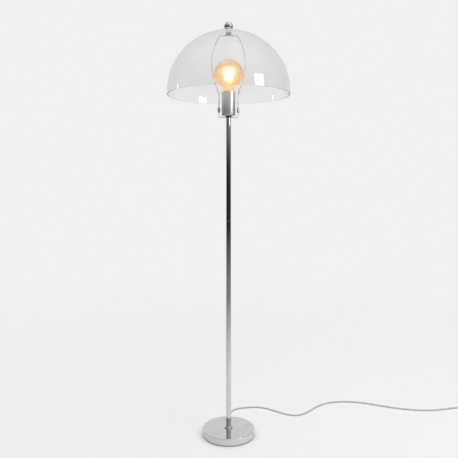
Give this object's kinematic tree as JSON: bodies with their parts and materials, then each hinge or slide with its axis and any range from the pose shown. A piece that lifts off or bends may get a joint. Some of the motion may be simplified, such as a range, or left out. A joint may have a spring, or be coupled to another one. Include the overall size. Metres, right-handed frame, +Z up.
{
  "type": "floor lamp",
  "caption": "Slender floor lamp: clear dome shade on a wire harp over a globe bulb, chrome pole, round weighted base, and a lead with foot switch and plug.",
  "frame": {"origin": "on the floor under the pole's axis", "axes": "+Z up along the pole, -Y to the front, +X to the right seen from the front; the harp's wire lies in the XZ plane"},
  "size_m": [1.094, 0.4614, 1.3446],
  "materials": {
    "chrome": "polished chrome plate",
    "wire_steel": "satin nickel-plated wire",
    "zinc_steel": "zinc-plated steel",
    "dark_steel": "blackened steel",
    "cast_iron": "raw grey casting",
    "brass": "drawn brass",
    "bulb_cap": "rolled sheet, nickel-plated",
    "holder_body": "white steatite",
    "holder_ring": "natural nylon",
    "smoke_acrylic": "clear, faintly smoked acrylic",
    "amber_glass": "amber-tinted clear glass",
    "clear_glass": "clear glass",
    "filament": "phosphor coating, lit",
    "felt_pad": "black foam rubber",
    "lead": "soft translucent grey jacket",
    "lead_fittings": "pale grey moulding",
    "button": "smooth grey moulding",
    "pin_sleeve": "black insulating sleeve",
    "tie": "woven hook-and-loop strap"
  },
  "bodies": {
    "stand": {"foot_pad": "felt_pad", "base_plate": "zinc_steel", "base_plate_screws": "zinc_steel", "base_weight": "cast_iron", "base_cover": "chrome", "base_collar": "chrome", "base_nipple": "zinc_steel", "nipple_washers": "zinc_steel", "lock_nuts": "dark_steel", "cord_grommet": "lead", "cord_clamp": "zinc_steel", "small_screws": "zinc_steel", "pole_lower": "chrome", "pole_middle": "chrome", "pole_upper": "chrome", "pole_bushes": "brass", "pole_nipples": "zinc_steel", "top_nipple": "zinc_steel", "pole_lead": "lead", "saddle": "chrome", "socket_cover": "chrome", "socket_bridge": "zinc_steel", "socket_insert": "holder_body", "socket_shell": "brass", "socket_contact": "brass", "socket_terminals": "brass", "socket_wires": "lead", "socket_ring": "holder_ring", "harp_wire": "wire_steel", "harp_clip": "wire_steel", "harp_stud": "wire_steel", "harp_nut": "dark_steel", "cord_lead": "lead", "switch_base": "lead_fittings", "switch_cover": "lead_fittings", "switch_block": "lead_fittings", "switch_terminals": "brass", "switch_spring": "zinc_steel", "switch_screws": "zinc_steel", "cord_tail": "lead", "cord_coil": "lead", "coil_tie": "tie", "cord_plug_lead": "lead", "plug_body": "lead_fittings", "plug_pins": "brass", "plug_sleeves": "pin_sleeve"},
    "bulb": {"bulb_glass": "amber_glass", "bulb_cap": "bulb_cap", "bulb_insulator": "holder_body", "bulb_contact": "brass", "bulb_stem": "clear_glass", "bulb_supports": "zinc_steel", "bulb_filaments": "filament"},
    "left_ferrule": {"ferrule_left": "chrome"},
    "right_ferrule": {"ferrule_right": "chrome"},
    "shade_carrier": {"shade_seat": "holder_ring"},
    "shade": {"shade": "smoke_acrylic"},
    "top_washer": {"shade_washer": "chrome"},
    "finial": {"finial": "chrome"},
    "foot_button": {"switch_button": "button"}
  },
  "joints": [
    {"name": "bulb_lift", "type": "slide", "parent": "stand", "child": "bulb", "axis": [0, 0, 1], "range_m": [0, 0.028]},
    {"name": "left_ferrule_slide", "type": "slide", "parent": "stand", "child": "left_ferrule", "axis": [0, 0, 1], "range_m": [0, 0.04]},
    {"name": "right_ferrule_slide", "type": "slide", "parent": "stand", "child": "right_ferrule", "axis": [0, 0, 1], "range_m": [0, 0.04]},
    {"name": "shade_lift", "type": "slide", "parent": "stand", "child": "shade_carrier", "axis": [0, 0, 1], "range_m": [0, 0.03]},
    {"name": "shade_turn", "type": "hinge", "parent": "shade_carrier", "child": "shade", "pos_m": [0, 0, 1.3125], "axis": [0, 0, 1], "continuous": true},
    {"name": "finial_lift", "type": "slide", "parent": "shade", "child": "top_washer", "axis": [0, 0, 1], "range_m": [0, 0.0091]},
    {"name": "finial_turn", "type": "hinge", "parent": "top_washer", "child": "finial", "pos_m": [0, 0, 1.3163], "axis": [0, 0, 1], "range_deg": [0, 3240]},
    {"name": "foot_button_press", "type": "slide", "parent": "stand", "child": "foot_button", "axis": [0, 0, -1], "range_m": [0, 0.0035], "stiffness_N_per_m": 800, "deforming": ["switch_spring"]}
  ],
  "couplings": [
    {"joint": "finial_lift", "follows": "finial_turn", "m_per_rad": 0.00015915}
  ]
}
